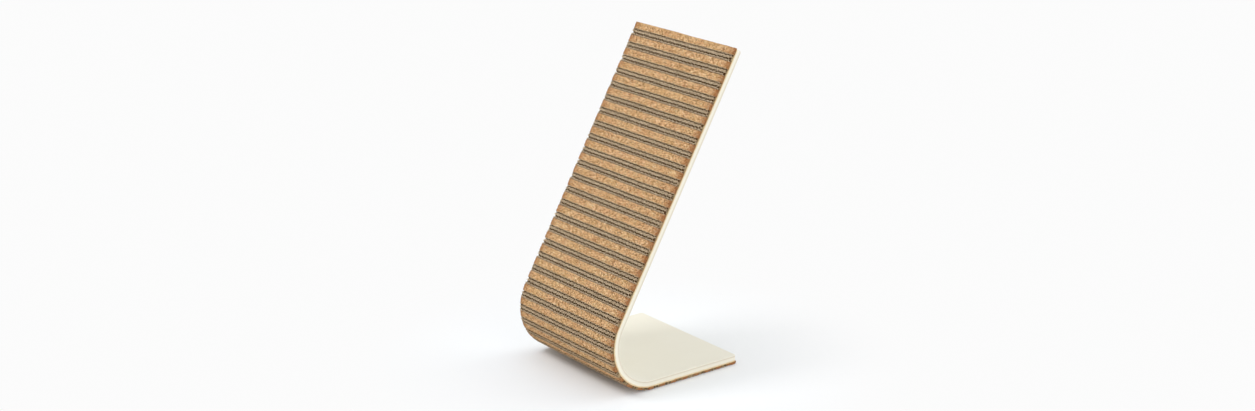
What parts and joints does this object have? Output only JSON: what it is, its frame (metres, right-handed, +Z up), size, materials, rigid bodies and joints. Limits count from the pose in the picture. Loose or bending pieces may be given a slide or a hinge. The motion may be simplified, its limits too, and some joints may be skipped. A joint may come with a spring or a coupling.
{
  "type": "cat scratcher",
  "caption": "Bent-board cat scratcher with a leaning tall leg on a flat base, its outer face covered by a mat of alternating cork and corrugated card strips.",
  "frame": {"origin": "on the floor, under the middle of the bounding box", "axes": "+Z up; +X across the width, along the strips; the front, where the bend is, faces -Y, and the base's free end and the leg's top face +Y"},
  "size_m": [0.2, 0.2058, 0.4263],
  "materials": {
    "board": "smooth satin cream paint on a bent board",
    "adhesive": "yellowish set glue, shown only as a line between board and mat",
    "card": "cut edge of brown double-wall corrugated board with open flutes",
    "cork": "agglomerated cork, matt and grainy"
  },
  "bodies": {
    "root": {"bent_board": "board", "adhesive_sheet": "adhesive", "card_strip_01": "card", "card_strip_02": "card", "card_strip_03": "card", "card_strip_04": "card", "card_strip_05": "card", "card_strip_06": "card", "card_strip_07": "card", "card_strip_08": "card", "card_strip_09": "card", "card_strip_10": "card", "card_strip_11": "card", "card_strip_12": "card", "card_strip_13": "card", "card_strip_14": "card", "card_strip_15": "card", "card_strip_16": "card", "card_strip_17": "card", "card_strip_18": "card", "card_strip_19": "card", "card_strip_20": "card", "card_strip_21": "card", "card_strip_22": "card", "card_strip_23": "card", "card_strip_24": "card", "card_strip_25": "card", "card_strip_26": "card", "card_strip_27": "card", "card_strip_28": "card", "card_strip_29": "card", "card_strip_30": "card", "card_strip_31": "card", "card_strip_32": "card", "card_strip_33": "card", "card_strip_34": "card", "cork_strips_01_to_03": "cork", "cork_strips_04_to_06": "cork", "cork_strips_07_to_09": "cork", "cork_strips_10_to_12": "cork", "cork_strips_13_to_15": "cork", "cork_strips_16_to_18": "cork", "cork_strips_19_to_21": "cork", "cork_strips_22_to_24": "cork", "cork_strips_25_to_27": "cork", "cork_strips_28_to_30": "cork", "cork_strips_31_to_33": "cork", "cork_strips_34_to_35": "cork"}
  },
  "joints": []
}
